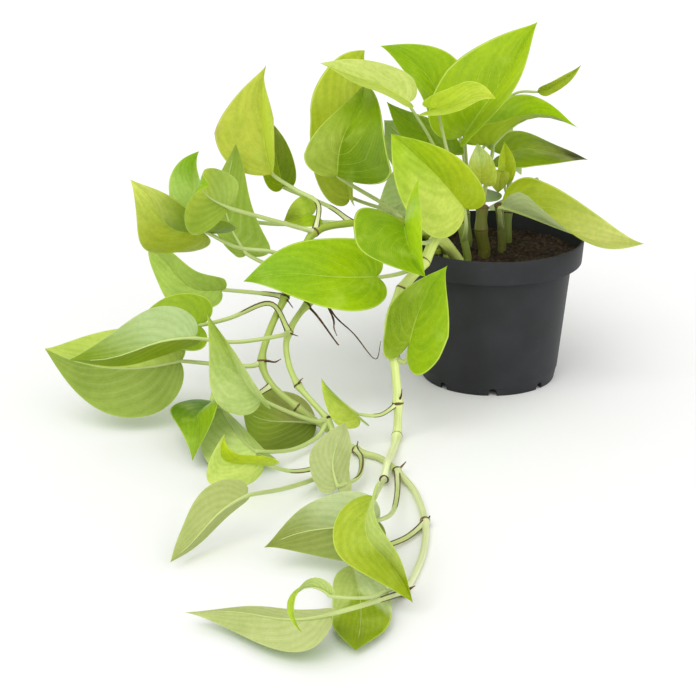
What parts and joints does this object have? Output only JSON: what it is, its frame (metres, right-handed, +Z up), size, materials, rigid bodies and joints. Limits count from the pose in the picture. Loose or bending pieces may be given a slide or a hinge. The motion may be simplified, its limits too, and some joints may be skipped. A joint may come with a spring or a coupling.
{
  "type": "potted plant",
  "caption": "Golden pothos with lime heart-shaped leaves on short stems and trailing vines, standing in a plain black round nursery pot of soil.",
  "frame": {"origin": "centre of the pot's foot, on the surface that it stands on", "axes": "+Z up; -Y toward the viewer of the picture, with the vines lying that way; +X to the viewer's right"},
  "size_m": [0.3715, 0.5223, 0.2295],
  "materials": {
    "pot_black": "satin black moulded plastic",
    "soil_brown": "rough dark potting soil",
    "stem_green": "smooth pale green stem",
    "stem_brown": "brown-green woody stem",
    "leaf_lime": "satin lime leaf with a paler underside",
    "leaf_deep": "satin deeper green leaf with a paler underside",
    "leaf_young": "satin yellow-green young leaf"
  },
  "bodies": {
    "root": {"leaf_back_high": "leaf_lime", "leaf_back_left": "leaf_lime", "leaf_back_middle": "leaf_lime", "leaf_back_pale": "leaf_lime", "leaf_back_right": "leaf_lime", "leaf_back_top": "leaf_lime", "leaf_crown_back": "leaf_deep", "leaf_crown_folded": "leaf_deep", "leaf_crown_hanging": "leaf_lime", "leaf_crown_heart": "leaf_lime", "leaf_crown_inner": "leaf_deep", "leaf_crown_left": "leaf_lime", "leaf_crown_long": "leaf_young", "leaf_crown_tall": "leaf_lime", "leaf_crown_wide": "leaf_lime", "leaf_crown_young": "leaf_young", "leaf_end_folded": "leaf_lime", "leaf_end_long": "leaf_lime", "leaf_end_pale": "leaf_lime", "leaf_end_ribbon": "leaf_young", "leaf_front_heart": "leaf_lime", "leaf_front_small": "leaf_lime", "leaf_front_yellow": "leaf_young", "leaf_inner_low": "leaf_deep", "leaf_inner_small": "leaf_young", "leaf_left_bright": "leaf_deep", "leaf_left_broad": "leaf_lime", "leaf_left_cupped": "leaf_lime", "leaf_left_drooping": "leaf_lime", "leaf_left_far": "leaf_young", "leaf_left_hidden": "leaf_deep", "leaf_left_pale": "leaf_lime", "leaf_left_shaded": "leaf_deep", "leaf_left_small": "leaf_deep", "leaf_left_upright": "leaf_young", "leaf_left_wide": "leaf_lime", "leaf_low_arched": "leaf_deep", "leaf_low_behind": "leaf_lime", "leaf_low_curled": "leaf_young", "leaf_low_dark": "leaf_deep", "leaf_low_drooping": "leaf_lime", "leaf_low_pointed": "leaf_lime", "leaf_low_upright": "leaf_lime", "leaf_right_dark": "leaf_deep", "leaf_right_long": "leaf_lime", "leaf_right_narrow": "leaf_young", "leaf_right_tailed": "leaf_deep", "leaf_right_upright": "leaf_lime", "pot": "pot_black", "soil": "soil_brown", "stem_back": "stem_green", "stem_mid": "stem_green", "stem_rear": "stem_green", "stem_right": "stem_brown", "stem_thick": "stem_brown", "vine_front": "stem_green", "vine_long": "stem_green", "vine_mid": "stem_green"}
  },
  "joints": []
}
